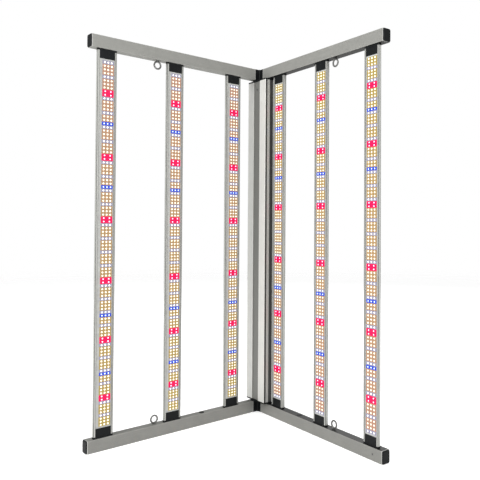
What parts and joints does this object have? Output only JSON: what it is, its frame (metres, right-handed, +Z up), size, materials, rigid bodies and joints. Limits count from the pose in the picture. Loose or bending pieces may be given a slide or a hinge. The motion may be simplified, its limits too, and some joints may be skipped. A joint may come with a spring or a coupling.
{
  "type": "led grow light",
  "caption": "Folding LED grow light: two hinged wings of LED bars between aluminium beams, with a long driver at the hinge, standing half open like a book.",
  "frame": {"origin": "on the ground, in the middle of the footprint of the half-open light", "axes": "+Z up along the hinge axis and the bars; the V of the wings opens towards -Y; +X to the right when facing the lit side"},
  "size_m": [0.7988, 0.4416, 1.1],
  "materials": {
    "beam_aluminium": "anodised, fine satin",
    "bar_aluminium": "anodised extrusion, satin",
    "driver_aluminium": "anodised extrusion, light satin",
    "black_plastic": "moulded, fine texture",
    "zinc_steel": "dull zinc plated",
    "wire_sheath": "smooth sheath",
    "led_board": "white solder mask",
    "led_warm": "phosphor in clear silicone",
    "led_cool": "phosphor in clear silicone",
    "led_red": "clear silicone over a red die",
    "led_blue": "clear silicone over a blue die",
    "gasket_rubber": "moulded",
    "circuit_laminate": "solder mask",
    "winding": "yellow tape over copper",
    "capacitor_sleeve": "shrink sleeve"
  },
  "bodies": {
    "right_wing": {"right_bottom_beam": "beam_aluminium", "right_top_beam": "beam_aluminium", "right_bottom_end_cap": "black_plastic", "right_top_end_cap": "black_plastic", "right_bottom_hinge_leaf": "black_plastic", "right_top_hinge_leaf": "black_plastic", "right_bottom_eye": "zinc_steel", "right_top_eye": "zinc_steel", "right_eye_nuts": "zinc_steel", "right_wire_plug": "black_plastic", "right_wiring_loom": "wire_sheath", "right_inner_bar": "bar_aluminium", "right_inner_led_board": "led_board", "right_inner_bar_connectors": "black_plastic", "right_middle_bar": "bar_aluminium", "right_middle_led_board": "led_board", "right_middle_bar_connectors": "black_plastic", "right_outer_bar": "bar_aluminium", "right_outer_led_board": "led_board", "right_outer_bar_connectors": "black_plastic", "right_screws": "zinc_steel", "driver_housing": "driver_aluminium", "driver_bottom_cover": "black_plastic", "driver_top_cover": "black_plastic", "driver_gaskets": "gasket_rubber", "driver_bottom_mount": "black_plastic", "driver_top_mount": "black_plastic", "driver_screws": "zinc_steel", "circuit_board": "circuit_laminate", "transformers": "winding", "capacitors": "capacitor_sleeve", "heat_spreader": "bar_aluminium", "mains_inlet": "black_plastic", "potentiometer": "black_plastic", "hinge_pins": "zinc_steel"},
    "left_wing": {"left_bottom_beam": "beam_aluminium", "left_top_beam": "beam_aluminium", "left_bottom_end_cap": "black_plastic", "left_top_end_cap": "black_plastic", "left_bottom_hinge_leaf": "black_plastic", "left_top_hinge_leaf": "black_plastic", "left_bottom_eye": "zinc_steel", "left_top_eye": "zinc_steel", "left_eye_nuts": "zinc_steel", "left_wire_plug": "black_plastic", "left_wiring_loom": "wire_sheath", "left_inner_bar": "bar_aluminium", "left_inner_led_board": "led_board", "left_inner_bar_connectors": "black_plastic", "left_middle_bar": "bar_aluminium", "left_middle_led_board": "led_board", "left_middle_bar_connectors": "black_plastic", "left_outer_bar": "bar_aluminium", "left_outer_led_board": "led_board", "left_outer_bar_connectors": "black_plastic", "left_screws": "zinc_steel"},
    "dimmer_knob": {"dimmer_knob": "black_plastic"}
  },
  "joints": [
    {"name": "wing_fold", "type": "hinge", "parent": "right_wing", "child": "left_wing", "pos_m": [0, 0.18658, 0.55], "axis": [0, 0, 1], "range_deg": [-94, 86]},
    {"name": "dimmer_turn", "type": "hinge", "parent": "right_wing", "child": "dimmer_knob", "pos_m": [0.01801, 0.1856, 0.25], "axis": [0.7314, 0.682, 0], "range_deg": [-140, 140]}
  ]
}
